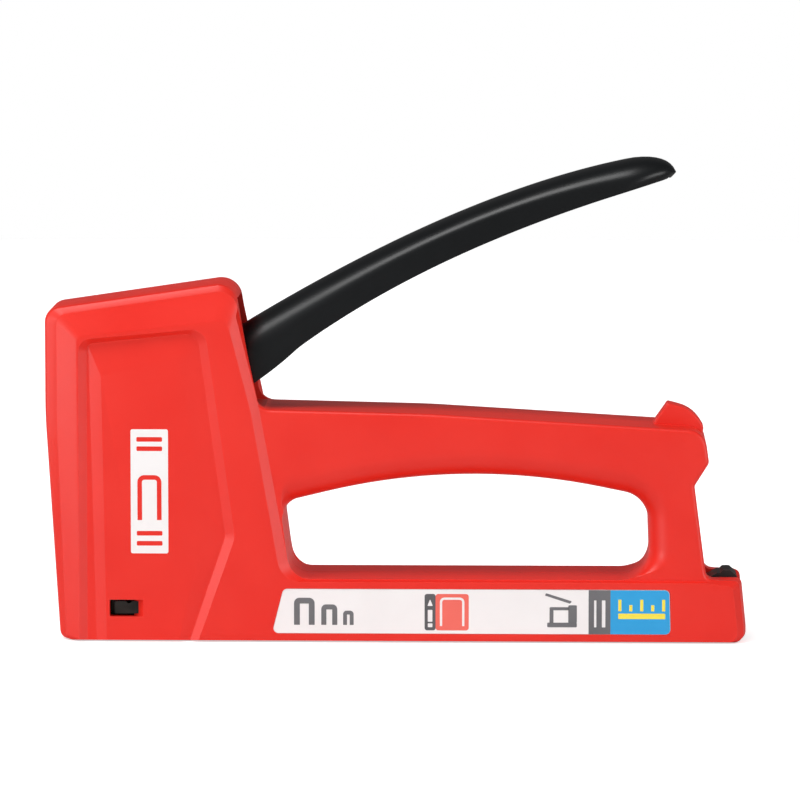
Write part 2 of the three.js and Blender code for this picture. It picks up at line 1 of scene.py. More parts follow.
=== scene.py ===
import bpy
import bmesh
import math
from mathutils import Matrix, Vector


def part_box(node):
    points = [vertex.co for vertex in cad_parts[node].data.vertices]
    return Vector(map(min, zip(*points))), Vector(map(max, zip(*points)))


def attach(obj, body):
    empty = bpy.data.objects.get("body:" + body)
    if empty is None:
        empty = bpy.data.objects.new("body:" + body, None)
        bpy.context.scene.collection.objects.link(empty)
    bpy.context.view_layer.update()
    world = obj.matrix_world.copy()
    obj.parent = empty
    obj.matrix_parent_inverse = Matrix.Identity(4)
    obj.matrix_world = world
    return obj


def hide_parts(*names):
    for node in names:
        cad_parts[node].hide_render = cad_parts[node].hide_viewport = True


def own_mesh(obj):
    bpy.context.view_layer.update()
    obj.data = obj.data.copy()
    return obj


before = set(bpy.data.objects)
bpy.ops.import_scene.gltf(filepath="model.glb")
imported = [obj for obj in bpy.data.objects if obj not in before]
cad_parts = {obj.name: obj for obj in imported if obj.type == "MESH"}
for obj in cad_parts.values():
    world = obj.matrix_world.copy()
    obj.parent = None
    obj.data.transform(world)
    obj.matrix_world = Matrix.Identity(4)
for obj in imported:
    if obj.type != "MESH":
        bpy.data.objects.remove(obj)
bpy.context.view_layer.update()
mm = 0.001
sharpCorner = 0.06  # radius of a corner that names none
print("frame loaded")


# small helpers
def deselectAll():
    active = bpy.context.view_layer.objects.active
    if active and active.mode != "OBJECT":
        bpy.ops.object.mode_set(mode="OBJECT")
    bpy.ops.object.select_all(action="DESELECT")


def pick(obj):
    deselectAll()
    obj.select_set(True)
    bpy.context.view_layer.objects.active = obj


def applyModifiers(obj):
    pick(obj)
    for modifier in list(obj.modifiers):
        bpy.ops.object.modifier_apply(modifier=modifier.name)


def settle(obj):
    # place goes into the mesh, so that the object sits at the origin
    pick(obj)
    bpy.ops.object.transform_apply(location=True, rotation=True, scale=True)


def boolean(target, tool, operation="DIFFERENCE"):
    modifier = target.modifiers.new("boolean", "BOOLEAN")
    modifier.operation = operation
    modifier.solver = "MANIFOLD"
    modifier.object = tool
    applyModifiers(target)
    bpy.data.objects.remove(tool)


def smooth(obj, degrees=32):
    pick(obj)
    bpy.ops.object.shade_smooth_by_angle(angle=math.radians(degrees))


def recalculate(obj):
    pick(obj)
    bpy.ops.object.mode_set(mode="EDIT")
    bpy.ops.mesh.select_all(action="SELECT")
    bpy.ops.mesh.normals_make_consistent(inside=False)
    bpy.ops.object.mode_set(mode="OBJECT")


def arcCorners(corners, steps=7):
    # points (x, z) in millimetres round corners given as (x, z, radius)
    points = []
    for i, corner in enumerate(corners):
        here = Vector(corner[:2])
        radius = corner[2] if len(corner) > 2 else sharpCorner
        back = (Vector(corners[i - 1][:2]) - here).normalized()
        ahead = (Vector(corners[(i + 1) % len(corners)][:2]) - here).normalized()
        half = back.angle(ahead) / 2
        centre = here + (back + ahead).normalized() * radius / math.sin(half)
        arm = here + back * radius / math.tan(half) - centre
        turn = math.pi - 2 * half
        if back.x * ahead.y - back.y * ahead.x > 0:
            turn = -turn
        for step in range(steps + 1):
            angle = turn * step / steps
            c, s = math.cos(angle), math.sin(angle)
            points.append((centre.x + arm.x * c - arm.y * s, centre.y + arm.x * s + arm.y * c))
    return points


def offsetPoints(points, distance, weight=None):
    # moves each point along its outward normal; points run anticlockwise
    moved = []
    for i, point in enumerate(points):
        before, after = Vector(points[i - 1]), Vector(points[(i + 1) % len(points)])
        along = after - before
        normal = Vector((along.y, -along.x)).normalized()
        share = weight(normal) if weight else 1
        moved.append((point[0] + normal.x * distance * share, point[1] + normal.y * distance * share))
    return moved


def anticlockwise(points):
    area = sum(a[0] * b[1] - b[0] * a[1] for a, b in zip(points, points[1:] + points[:1]))
    return points if area > 0 else points[::-1]


def stackRings(name, rings):
    # a filled circle is laid on the first ring and extruded from ring to ring: [(place function, points)]
    deselectAll()
    bpy.ops.mesh.primitive_circle_add(vertices=len(rings[0][1]), radius=0.01, fill_type="NGON")
    obj = bpy.context.object
    obj.name = name
    bpy.ops.object.mode_set(mode="EDIT")
    bpy.ops.mesh.select_all(action="SELECT")
    for number, (place, points) in enumerate(rings):
        if number:
            bpy.ops.mesh.extrude_region_move(TRANSFORM_OT_translate={"value": (0, 0, 0)})
        edit = bmesh.from_edit_mesh(obj.data)
        spot = edit.verts.layers.int.get("spot") or edit.verts.layers.int.new("spot")
        edit.verts.ensure_lookup_table()
        if not number:
            for index, vertex in enumerate(edit.verts):
                vertex[spot] = index
        for vertex in edit.verts:
            if vertex.select:
                vertex.co = Vector(place(*points[vertex[spot]])) * mm
        bmesh.update_edit_mesh(obj.data)
    bpy.ops.mesh.select_all(action="SELECT")
    bpy.ops.mesh.normals_make_consistent(inside=False)
    bpy.ops.object.mode_set(mode="OBJECT")
    obj.data.attributes.remove(obj.data.attributes["spot"])
    return obj


def across(y):
    return lambda x, z: (x, y, z)


def slabRings(name, levels):
    # levels are (y, points in x and z)
    return stackRings(name, [(across(y), points) for y, points in levels])


def prism(name, corners, y0, y1, steps=4):
    points = anticlockwise(arcCorners(corners, steps))
    return slabRings(name, [(y0, points), (y1, points)])


def rectangle(x0, x1, z0, z1, radius=0.15):
    return [(x0, z0, radius), (x1, z0, radius), (x1, z1, radius), (x0, z1, radius)]


def box(name, x0, x1, y0, y1, z0, z1):
    deselectAll()
    centre = Vector(((x0 + x1) / 2, (y0 + y1) / 2, (z0 + z1) / 2)) * mm
    bpy.ops.mesh.primitive_cube_add(size=1, location=centre)
    obj = bpy.context.object
    obj.name = name
    obj.scale = (abs(x1 - x0) * mm, abs(y1 - y0) * mm, abs(z1 - z0) * mm)
    settle(obj)
    return obj


def rod(name, centre, radius, depth, axis="Y", segments=48):
    deselectAll()
    turn = {"X": (0, math.pi / 2, 0), "Y": (math.pi / 2, 0, 0), "Z": (0, 0, 0)}[axis]
    bpy.ops.mesh.primitive_cylinder_add(
        vertices=segments,
        radius=radius * mm,
        depth=depth * mm,
        location=Vector(centre) * mm,
        rotation=turn,
    )
    obj = bpy.context.object
    obj.name = name
    settle(obj)
    return obj


def addToScene(obj):
    bpy.context.scene.collection.objects.link(obj)


def copied(obj, name):
    copy = obj.copy()
    copy.data = obj.data.copy()
    copy.name = name
    addToScene(copy)
    return copy


def mirrored(obj, name):
    copy = copied(obj, name)
    copy.scale = (1, -1, 1)
    settle(copy)
    recalculate(copy)
    return copy


def boxOf(node):
    low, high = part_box(node)
    return [v / mm for v in low], [v / mm for v in high]


def middleOf(node, *axes):
    low, high = boxOf(node)
    return [(low[axis] + high[axis]) / 2 for axis in axes]


def dress(obj, material):
    obj.data.materials.clear()
    obj.data.materials.append(material)


def finishPiece(obj, body, material, slot, *nodes):
    dress(obj, material)
    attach(obj, body)
    if nodes:
        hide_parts(*nodes)
    return obj


# camera and light
cameraSettings = {
    "target": (0.9, 0, 61.05),
    "azimuth": 1.5,
    "elevation": 6.1,
    "distance": 1500,
    "widthSeen": 206.3,
    "sensor": 36,
}


def addCamera(s):
    camera = bpy.data.objects.new("camera", bpy.data.cameras.new("camera"))
    addToScene(camera)
    azimuth, elevation = math.radians(s["azimuth"]), math.radians(s["elevation"])
    towards = Vector((
        math.sin(azimuth) * math.cos(elevation),
        -math.cos(azimuth) * math.cos(elevation),
        math.sin(elevation),
    ))
    camera.location = (Vector(s["target"]) + towards * s["distance"]) * mm
    camera.rotation_euler = (-towards).to_track_quat("-Z", "Y").to_euler()
    camera.data.sensor_width = s["sensor"]
    camera.data.lens = s["sensor"] * s["distance"] / s["widthSeen"]
    camera.data.clip_end = 10
    bpy.context.scene.camera = camera


# a lamp that isn't mirrored lights the object without showing in its gloss
lampSettings = {
    "left": {"place": (-1.0, -0.75, 0.15), "size": (0.47, 0.47), "power": 4.9},
    "right": {"place": (1.0, -0.75, 0.2), "size": (0.75, 0.75), "power": 6.6},
    "top": {"place": (-0.5, -0.48, 1.2), "size": (1.0, 0.62), "power": 12.5, "level": True},
    "rear": {"place": (-0.7, 0.95, 0.25), "size": (0.7, 0.7), "power": 3.8, "mirrored": False},
    "rearRight": {"place": (0.7, 0.95, 0.25), "size": (0.7, 0.7), "power": 3.8, "mirrored": False},
}
lampAim = (0, 0, 0.055)


def addLamps(settings):
    for name, s in settings.items():
        lamp = bpy.data.lights.new(name + "Lamp", "AREA")
        lamp.shape = "RECTANGLE"
        lamp.size, lamp.size_y = s["size"]
        lamp.energy = s["power"]
        holder = bpy.data.objects.new(name + "Lamp", lamp)
        addToScene(holder)
        holder.location = s["place"]
        holder.visible_glossy = s.get("mirrored", True)
        if not s.get("level"):
            aim = Vector(lampAim) - holder.location
            holder.rotation_euler = aim.to_track_quat("-Z", "Y").to_euler()


def addNode(nodes, kind, operation=None, **values):
    # names of inputs are given with an underscore for each blank
    node = nodes.new("ShaderNode" + kind)
    if operation:
        node.operation = operation
    for label, value in values.items():
        node.inputs[label.replace("_", " ")].default_value = value
    return node


def blendColours(nodes, links, mask, low, high):
    mix = nodes.new("ShaderNodeMix")
    mix.data_type = "RGBA"
    mix.inputs["A"].default_value = (*low, 1)
    mix.inputs["B"].default_value = (*high, 1)
    links.new(mask, mix.inputs["Factor"])
    return mix


def spread(nodes, links, value, low, high, fromLow=0.3, fromHigh=0.7):
    remap = addNode(nodes, "MapRange", From_Min=fromLow, From_Max=fromHigh, To_Min=low, To_Max=high)
    links.new(value, remap.inputs["Value"])
    return remap.outputs["Result"]


def newMaterial(name):
    material = bpy.data.materials.new(name)
    material.use_nodes = True
    nodes, links = material.node_tree.nodes, material.node_tree.links
    return material, nodes, links, nodes["Principled BSDF"]


worldSettings = {
    "light": 0.36, "seen": 1.0, "mirroredFront": 0.3, "mirroredRear": 0.12,
    "roomFront": -0.3, "roomRear": 0.4,
}


def addWorld(s):
    world = bpy.data.worlds.new("studio")
    world.use_nodes = True
    bpy.context.scene.world = world
    nodes, links = world.node_tree.nodes, world.node_tree.links
    background = nodes["Background"]
    background.inputs["Color"].default_value = (1, 1, 1, 1)
    ray = addNode(nodes, "LightPath")
    # reflections see a room that is darker behind the object
    place = addNode(nodes, "TexCoord")
    axes = addNode(nodes, "SeparateXYZ")
    links.new(place.outputs["Generated"], axes.inputs["Vector"])
    room = spread(
        nodes, links, axes.outputs["Y"],
        s["mirroredFront"], s["mirroredRear"], s["roomFront"], s["roomRear"],
    )
    plain = spread(nodes, links, ray.outputs["Is Camera Ray"], s["light"], s["seen"], 0, 1)
    mix = addNode(nodes, "Mix")
    links.new(ray.outputs["Is Glossy Ray"], mix.inputs["Factor"])
    links.new(plain, mix.inputs["A"])
    links.new(room, mix.inputs["B"])
    links.new(mix.outputs["Result"], background.inputs["Strength"])


floorSettings = {"size": 2.6, "colour": 0.85, "mirroredColour": 0.35, "glow": 0.56}


def addFloor(s):
    deselectAll()
    bpy.ops.mesh.primitive_plane_add(size=s["size"], location=(0, 0, 0))
    floor = bpy.context.object
    floor.name = "floor"
    material, nodes, links, shader = newMaterial("paleFloor")
    shader.inputs["Roughness"].default_value = 0.9
    ray = addNode(nodes, "LightPath")
    tone = blendColours(
        nodes, links, ray.outputs["Is Glossy Ray"], (s["colour"],) * 3, (s["mirroredColour"],) * 3,
    )
    links.new(tone.outputs["Result"], shader.inputs["Base Color"])
    seen = addNode(nodes, "Math", "MULTIPLY")
    seen.inputs[1].default_value = s["glow"]
    links.new(ray.outputs["Is Camera Ray"], seen.inputs[0])
    shader.inputs["Emission Color"].default_value = (1, 1, 1, 1)
    links.new(seen.outputs[0], shader.inputs["Emission Strength"])
    floor.data.materials.append(material)


addCamera(cameraSettings)
addLamps(lampSettings)
addWorld(worldSettings)
addFloor(floorSettings)
scene = bpy.context.scene
scene.view_settings.view_transform = "Standard"
print("camera and light ready")


# materials
def newGroup(name, inputs, outputs):
    # every socket is a plain value
    group = bpy.data.node_groups.new(name, "ShaderNodeTree")
    for label, value in inputs.items():
        socket = group.interface.new_socket(label, in_out="INPUT", socket_type="NodeSocketFloat")
        socket.default_value = value
    for label in outputs:
        group.interface.new_socket(label, in_out="OUTPUT", socket_type="NodeSocketFloat")
    return group, group.nodes.new("NodeGroupInput"), group.nodes.new("NodeGroupOutput")


def grainGroup():
    # fine moulded or sprayed grain: a height, and a slow mask for colour and roughness
    inputs = {"Grain Size": 2600, "Cloud Size": 60}
    group, start, end = newGroup("surfaceGrain", inputs, ("Height", "Cloud"))
    nodes, links = group.nodes, group.links
    place = addNode(nodes, "TexCoord")
    fine = addNode(nodes, "TexNoise", Detail=3)
    cells = addNode(nodes, "TexVoronoi")
    cloud = addNode(nodes, "TexNoise", Detail=4)
    both = addNode(nodes, "Math", "ADD")
    for texture, size in ((fine, "Grain Size"), (cells, "Grain Size"), (cloud, "Cloud Size")):
        links.new(place.outputs["Object"], texture.inputs["Vector"])
        links.new(start.outputs[size], texture.inputs["Scale"])
    links.new(fine.outputs["Fac"], both.inputs[0])
    links.new(cells.outputs["Distance"], both.inputs[1])
    links.new(both.outputs[0], end.inputs["Height"])
    links.new(cloud.outputs["Fac"], end.inputs["Cloud"])
    return group


def edgeGroup():
    # one where a surface turns a corner, zero on the flats
    group, start, end = newGroup("cornerMask", {"Width": 0.0004, "Breakup": 900}, ("Mask",))
    nodes, links = group.nodes, group.links
    bevel = addNode(nodes, "Bevel")
    bevel.samples = 3
    geometry = addNode(nodes, "NewGeometry")
    dot = addNode(nodes, "VectorMath", "DOT_PRODUCT")
    place = addNode(nodes, "TexCoord")
    noise = addNode(nodes, "TexNoise")
    cornerHighlight = addNode(nodes, "Math", "MULTIPLY")
    links.new(start.outputs["Width"], bevel.inputs["Radius"])
    links.new(bevel.outputs["Normal"], dot.inputs[0])
    links.new(geometry.outputs["Normal"], dot.inputs[1])
    bend = spread(nodes, links, dot.outputs["Value"], 0, 1, 0.995, 0.8)
    links.new(place.outputs["Object"], noise.inputs["Vector"])
    links.new(start.outputs["Breakup"], noise.inputs["Scale"])
    # noise breaks up the corner mask that carries the painted highlight
    links.new(bend, cornerHighlight.inputs[0])
    links.new(noise.outputs["Fac"], cornerHighlight.inputs[1])
    links.new(cornerHighlight.outputs[0], end.inputs["Mask"])
    return group


def brushedGroup():
    # drawn lines along X, as on rolled strip
    group, start, end = newGroup("rolledLines", {"Fineness": 1.0}, ("Lines", "Stain"))
    nodes, links = group.nodes, group.links
    place = addNode(nodes, "TexCoord")
    stretch = addNode(nodes, "Mapping", Scale=(60, 5200, 5200))
    lines = addNode(nodes, "TexNoise", Detail=4)
    stain = addNode(nodes, "TexNoise", Scale=140, Detail=5)
    links.new(place.outputs["Object"], stretch.inputs["Vector"])
    links.new(stretch.outputs["Vector"], lines.inputs["Vector"])
    links.new(start.outputs["Fineness"], lines.inputs["Scale"])
    links.new(place.outputs["Object"], stain.inputs["Vector"])
    links.new(lines.outputs["Fac"], end.inputs["Lines"])
    links.new(stain.outputs["Fac"], end.inputs["Stain"])
    return group


grainNodes = grainGroup()
edgeNodes = edgeGroup()
brushedNodes = brushedGroup()
grainDepth, lineDepth, lineBump = 0.00004, 0.00003, 0.12


def useGroup(nodes, group, values):
    node = nodes.new("ShaderNodeGroup")
    node.node_tree = group
    for label, value in values.items():
        node.inputs[label].default_value = value
    return node


def addBump(nodes, links, height, shader, strength, depth):
    bump = addNode(nodes, "Bump", Strength=strength, Distance=depth)
    links.new(height, bump.inputs["Height"])
    links.new(bump.outputs["Normal"], shader.inputs["Normal"])


def surface(name, s):
    # moulded, painted or printed surface: clouded colour, corners lightened as a painted highlight, grain
    material, nodes, links, shader = newMaterial(name)
    shader.inputs["Metallic"].default_value = 0
    shader.inputs["Specular IOR Level"].default_value = s.get("specular", 0.5)
    grain = useGroup(nodes, grainNodes, {"Grain Size": s["grain"], "Cloud Size": s.get("cloud", 70)})
    cloud = spread(nodes, links, grain.outputs["Cloud"], 0, 1)
    colour = blendColours(nodes, links, cloud, s["low"], s["high"])
    # the edge colour lightens the corners: a painted highlight where rounded edges catch the light
    if "edge" in s:
        corner = useGroup(nodes, edgeNodes, {})
        share = spread(nodes, links, corner.outputs["Mask"], 0, s["edgeAmount"], 0, 0.6)
        cornerHighlight = blendColours(nodes, links, share, s["low"], s["edge"])
        links.new(colour.outputs["Result"], cornerHighlight.inputs["A"])
        colour = cornerHighlight
    links.new(colour.outputs["Result"], shader.inputs["Base Color"])
    links.new(spread(nodes, links, grain.outputs["Cloud"], *s["rough"]), shader.inputs["Roughness"])
    addBump(nodes, links, grain.outputs["Height"], shader, s["bump"], grainDepth)
    return material


def rolledSteel(name, s):
    # sheet, wire and turned steel with fine drawn lines and a faint stain
    material, nodes, links, shader = newMaterial(name)
    shader.inputs["Metallic"].default_value = 1
    brushed = useGroup(nodes, brushedNodes, {"Fineness": s.get("fineness", 1)})
    stain = spread(nodes, links, brushed.outputs["Stain"], 0, 1)
    colour = blendColours(nodes, links, stain, s["low"], s["high"])
    links.new(colour.outputs["Result"], shader.inputs["Base Color"])
    links.new(spread(nodes, links, brushed.outputs["Lines"], *s["rough"]), shader.inputs["Roughness"])
    addBump(nodes, links, brushed.outputs["Lines"], shader, lineBump, lineDepth)
    return material


# each edge colour is lighter than its surface: a painted highlight on the corners
finishes = {
    "redPlastic": {
        "low": (0.755, 0.015, 0.006), "high": (0.79, 0.020, 0.009), "edge": (0.88, 0.10, 0.08),
        "edgeAmount": 0.35, "rough": (0.36, 0.44), "grain": 2600, "bump": 0.16, "cloud": 45,
    },
    "leverBlack": {
        "low": (0.0007, 0.0014, 0.0021), "high": (0.0013, 0.0021, 0.003), "edge": (0.02, 0.022, 0.024),
        "edgeAmount": 0.3, "rough": (0.31, 0.36), "grain": 900, "bump": 0.03, "specular": 0.42,
    },
    "blackPlastic": {
        "low": (0.012, 0.011, 0.011), "high": (0.022, 0.021, 0.020), "edge": (0.09, 0.088, 0.085),
        "edgeAmount": 0.6, "rough": (0.38, 0.5), "grain": 2200, "bump": 0.3,
    },
    "rubber": {
        "low": (0.014, 0.014, 0.014), "high": (0.03, 0.029, 0.028), "rough": (0.75, 0.9),
        "grain": 1500, "bump": 0.4,
    },
    "labelFilm": {
        "low": (0.83, 0.805, 0.80), "high": (0.86, 0.84, 0.835), "rough": (0.32, 0.4),
        "grain": 4200, "bump": 0.05,
    },
}
inks = {
    "printGrey": {"low": (0.13, 0.13, 0.138), "high": (0.17, 0.17, 0.178)},
    "printDark": {"low": (0.085, 0.085, 0.09), "high": (0.11, 0.11, 0.117)},
    "printCoral": {"low": (0.80, 0.125, 0.095), "high": (0.86, 0.15, 0.115)},
    "printBlue": {"low": (0.018, 0.32, 0.66), "high": (0.026, 0.37, 0.74)},
    "printYellow": {"low": (0.87, 0.70, 0.06), "high": (0.93, 0.78, 0.08)},
}
for ink in inks.values():
    ink.update({"rough": (0.34, 0.42), "grain": 4200, "bump": 0.05})
finishes.update(inks)
steels = {
    "zincSteel": {"low": (0.55, 0.55, 0.56), "high": (0.68, 0.68, 0.69), "rough": (0.24, 0.36)},
    "darkSteel": {"low": (0.035, 0.032, 0.03), "high": (0.085, 0.078, 0.072), "rough": (0.26, 0.42)},
    "springSteel": {
        "low": (0.30, 0.29, 0.28), "high": (0.44, 0.42, 0.40), "rough": (0.2, 0.32), "fineness": 0.6,
    },
}
paint = {name: surface(name, s) for name, s in finishes.items()}
paint.update({name: rolledSteel(name, s) for name, s in steels.items()})
print("materials ready")


# body halves
left, right = boxOf("casing_left"), boxOf("casing_right")
nose, tail = left[0][0], left[1][0]
halfWidth = right[1][1]
labelLow, labelHigh = boxOf("label_left")

shell = {
    "seamGap": 0.015,
    "seamChamfer": 0.12,
    "gripHalf": halfWidth - 1.5,
    "gripRound": 1.0,
    "holeRound": 6.3,
    "pocketDepth": 1.7,
    "rearDepth": 1.35,
    "panelDepth": 0.35,
    "facetDepth": 4.0,
    "ridgeDepth": 2.2,
    "labelRecess": 0.3,
    "humpHalf": 4,
    "humpRound": 0.5,
    "slotHalf": 7.3,
    "noseWall": 5.8,
    "roomRoundLever": 0.7,
    "roomRoundFork": 1.5,
    "roomRoundGrip": 0.4,
    "screwSink": 10.4,
    "tailTop": {"length": 10.3, "foot": 12, "top": 18},
    "leverRoom": {"start": -46, "end": -29, "foot": 60.2, "top": 88.4},
}
labelSlant = 2.9  # the label's upper corner near the nose leans in by this
windowCut = {
    "start": nose + 16.7,
    "end": nose + 25.5,
    "foot": 6.5,
    "head": 10.9,
    "ramp": 2.6,
    "rampDepth": 3.2,
}

# head and base beam in one outline: mid-plane, ridge of the facets, level of the grip, flat side
bodyCorners = [
    (nose + 3.6, 0, 2.5), (nose, 58, 150),
    (nose, 85.6, 4.4), (-41.0, 92.8, 5.5),
    (-35.3, 59.8, 20), (-27.2, 16.3, 6),
    (79.4, 16.32, 3), (tail - 1.2, 16.3, 1.6),
    (tail, 4.1, 10), (tail, 0, 2.6),
]
ridgeCorners = [
    (nose + 5.5, 0.2, 1.8), (nose + 3.3, 55, 180),
    (nose + 3.3, 84.0, 2.8), (-41.2, 90.7, 5),
    (-35.1, 59.8, 20), (-26.9, 16.2, 6),
    (79.4, 16.2, 3), (tail - 1.9, 16.0, 1.6),
    (tail - 0.7, 4.1, 10), (tail - 0.7, 0.1, 2.5),
]
gripLevelCorners = [
    (nose + 6.8, 0.3, 1.2), (nose + 5.0, 52, 220),
    (nose + 5.0, 82.2, 2.2), (-41.8, 88.1, 5),
    (-34.7, 59.8, 20), (-26.6, 16.1, 6),
    (79.4, 16.05, 3), (tail - 2.4, 15.5, 1.6),
    (tail - 1.3, 4.1, 10), (tail - 1.3, 0.2, 2.3),
]
faceCorners = [
    (nose + 8.9, 0.5, 0.4), (nose + 8.8, 40, 300),
    (nose + 8.6, 78.6, 1.6), (-43.0, 82.9, 4),
    (-37.0, 59.8, 20), (-29.2, 15.7, 6),
    (79.4, 15.65, 3), (tail - 3.6, 14.7, 1.5),
    (tail - 2.4, 4.1, 10), (tail - 2.4, 0.5, 2),
]
gripCorners = [
    (-50, 1, 1), (-50, 70, 1),
    (-38.2, 70, 1), (-35.0, 59.9, 4.4),
    (8, 58.9, 260), (79.1, 54.7, 5.0),
    (80.3, 46.4, 2), (76.6, 40.5, 1.2),
    (79.7, 16.6, 2.3), (83.4, 16.0, 1),
    (83.4, 1, 1),
]
holeCorners = [
    (-27.0, 16.3, 5.5), (65.4, 16.3, 7.4),
    (64.6, 37.2, 7.5), (17.4, 46.7, 162),
    (-29.5, 35.4, 5),
]
humpCorners = [
    (64.2, 50, 0.3), (65.3, 54.4, 0.3),
    (69.8, 60.9, 0.7), (76.2, 59.2, 9),
    (79.1, 54.7, 1.5), (78.0, 49, 0.5),
]
pocketCorners = [
    (nose + 8.9, -2, 0.3), (nose + 9.0, 77.9, 3.4),
    (-48.6, 80.9, 4.2), (-41.0, 27.0, 7),
    (-51.3, -2, 0.5),
]
pocketFloor = [
    (nose + 11.0, -2, 0.3), (nose + 11.0, 76.7, 2.2),
    (-50.6, 79.6, 3.4), (-43.5, 27.2, 5),
    (-53.5, -2, 0.5),
]
panelFoot = [
    (nose + 13.4, -2, 0.3), (nose + 11.5, 76.3, 0.4),
    (-51.2, 79.2, 3), (-44.3, 27.4, 4.6),
    (-54.3, -2, 0.5),
]
panelFace = [
    (nose + 16.0, -2, 0.3), (nose + 14.8, 68.8, 1),
    (-55.4, 73.3, 2), (-48.4, 33.0, 5),
    (-56.0, -2, 0.5),
]


def towardsMiddle(points):
    return offsetPoints(points, -shell["seamChamfer"])


def sideLevels(points, flat, rounding, steps=8):
    # levels of a slab from the seam out to a flat side, with a rounded edge
    levels = [(shell["seamGap"], towardsMiddle(points)), (shell["seamGap"] + shell["seamChamfer"], points)]
    for step in range(steps + 1):
        angle = math.pi / 2 * step / steps
        inset = rounding * (1 - math.cos(angle))
        levels.append((flat - rounding * (1 - math.sin(angle)), offsetPoints(points, -inset)))
    return levels


def between(near, far, share):
    return [(a[0] + (b[0] - a[0]) * share, a[1] + (b[1] - a[1]) * share) for a, b in zip(near, far)]


def flareWeight(normal):
    # full over the arch, fading to nothing down the rear post's foot and at the head end
    rise = min(1, max(0, 1 + normal.y))
    inward = min(1, max(0, (normal.x + 0.92) / 0.5))
    return rise * rise * (3 - 2 * rise) * inward


def makeSide():
    # one half on the +Y side, later mirrored for the left
    smoothSteps = 14
    points, ridge, middle, face = (
        anticlockwise(arcCorners(corners, smoothSteps))
        for corners in (bodyCorners, ridgeCorners, gripLevelCorners, faceCorners)
    )
    start = halfWidth - shell["facetDepth"]
    ridgeLevel = halfWidth - shell["ridgeDepth"]
    levels = [
        (shell["seamGap"], towardsMiddle(points)),
        (shell["seamGap"] + shell["seamChamfer"], points),
        (start - 2.5, points),
        (start - 0.3, offsetPoints(points, -0.25)),
        (start + 0.4, between(offsetPoints(points, -0.35), ridge, 0.12)),
        (ridgeLevel - 0.2, between(points, ridge, 0.93)),
        (ridgeLevel, ridge),
        (shell["gripHalf"] - 0.05, middle),
        (halfWidth - 0.1, between(middle, face, 0.92)),
        (halfWidth - 0.02, between(middle, face, 0.99)),
        (halfWidth, offsetPoints(face, -0.12)),
    ]
    side = slabRings("side", levels)

    outline = anticlockwise(arcCorners(gripCorners, smoothSteps))
    grip = slabRings("grip", sideLevels(outline, shell["gripHalf"], shell["gripRound"]))
    hole = anticlockwise(arcCorners(holeCorners, 20))
    soft = shell["holeRound"]
    chamfer = shell["seamChamfer"]
    start = shell["gripHalf"] - soft
    levels = [(-1, offsetPoints(hole, chamfer)), (shell["seamGap"], offsetPoints(hole, chamfer))]
    levels.append((shell["seamGap"] + chamfer, hole))
    turns = 10
    for step in range(turns + 1):
        angle = math.pi / 2 * step / turns
        widened = offsetPoints(hole, soft * (1 - math.cos(angle)), flareWeight)
        levels.append((start + soft * math.sin(angle), widened))
    levels.append((shell["gripHalf"] + 1, levels[-1][1]))
    boolean(grip, slabRings("holeCut", levels))
    boolean(side, grip, "UNION")

    bump = anticlockwise(arcCorners(humpCorners))
    boolean(side, slabRings("hump", sideLevels(bump, shell["humpHalf"], shell["humpRound"])), "UNION")
    return side


def cutPocket(side):
    plate = halfWidth - shell["panelDepth"]

    def floorPlace(x, z):
        # the groove is deepest along the nose side, and grows shallow there towards the foot
        share = min(1, max(0, (x + 76) / 20))
        noseSide = shell["pocketDepth"] * min(1, 0.45 + z / 40)
        deep = noseSide + (shell["rearDepth"] - noseSide) * share
        return x, min(plate - 0.1, halfWidth - deep), z

    rings = [
        (across(halfWidth + 1), pocketCorners),
        (across(halfWidth), pocketCorners),
        (floorPlace, pocketFloor),
        (floorPlace, panelFoot),
        (across(plate), panelFace),
    ]
    rings = [(place, anticlockwise(arcCorners(corners))) for place, corners in rings]
    boolean(side, stackRings("pocket", rings))


def cutInside(side):
    past = -2
    low, high = boxOf("magazine_channel")
    blockLow, blockHigh = boxOf("pusher_grip")
    _, leverTop = boxOf("squeeze_lever")
    slotHalf = shell["slotHalf"]
    tailHalf = blockHigh[1] + shell["roomRoundGrip"]
    leverHalf = leverTop[1] + shell["roomRoundLever"]
    cavity = leverTop[1] + shell["roomRoundFork"]
    end, room = shell["tailTop"], shell["leverRoom"]
    slotRoof = high[2] + 0.3
    front = nose + shell["noseWall"]
    headHollow = [(front, 2), (-38, 2), (-38, 60), (-44, 88), (-66, 83), (front, 83)]
    cuts = [
        box("slotCut", front, blockLow[0] - 2, past, slotHalf, -1, slotRoof),
        box("tailCut", blockLow[0] - 2.1, tail + 1, past, tailHalf, -1, slotRoof),
        box("tailTopCut", tail - end["length"], tail + 1, past, tailHalf, end["foot"], end["top"]),
        box("leverCut", room["start"], room["end"], past, leverHalf, room["foot"], room["top"]),
        prism("headCut", headHollow, past, cavity),
    ]
    for tool in cuts:
        boolean(side, tool)
    cutWindow(side)
    slack = 0.1
    bed = [
        (labelLow[0] - slack, labelLow[2] - slack, 1.5),
        (labelHigh[0] + slack, labelLow[2] - slack, 1.5),
        (labelHigh[0] + slack, labelHigh[2] + slack, 1.5),
        (labelLow[0] + labelSlant, labelHigh[2] + slack, 1.5),
    ]
    boolean(side, prism("labelBed", bed, halfWidth - shell["labelRecess"], halfWidth + 1))


def cutWindow(side):
    # a sloping rear wall, seen beside the steel lug
    s = windowCut
    rings = []
    for y, rear in (
        (shell["slotHalf"] - 1, s["end"] - s["ramp"]),
        (halfWidth - s["rampDepth"], s["end"] - s["ramp"]),
        (halfWidth - 0.3, s["end"]),
        (halfWidth + 1, s["end"]),
    ):
        corners = rectangle(s["start"], rear, s["foot"], s["head"], 0.3)
        rings.append((y, anticlockwise(arcCorners(corners, 3))))
    boolean(side, slabRings("windowCut", rings))


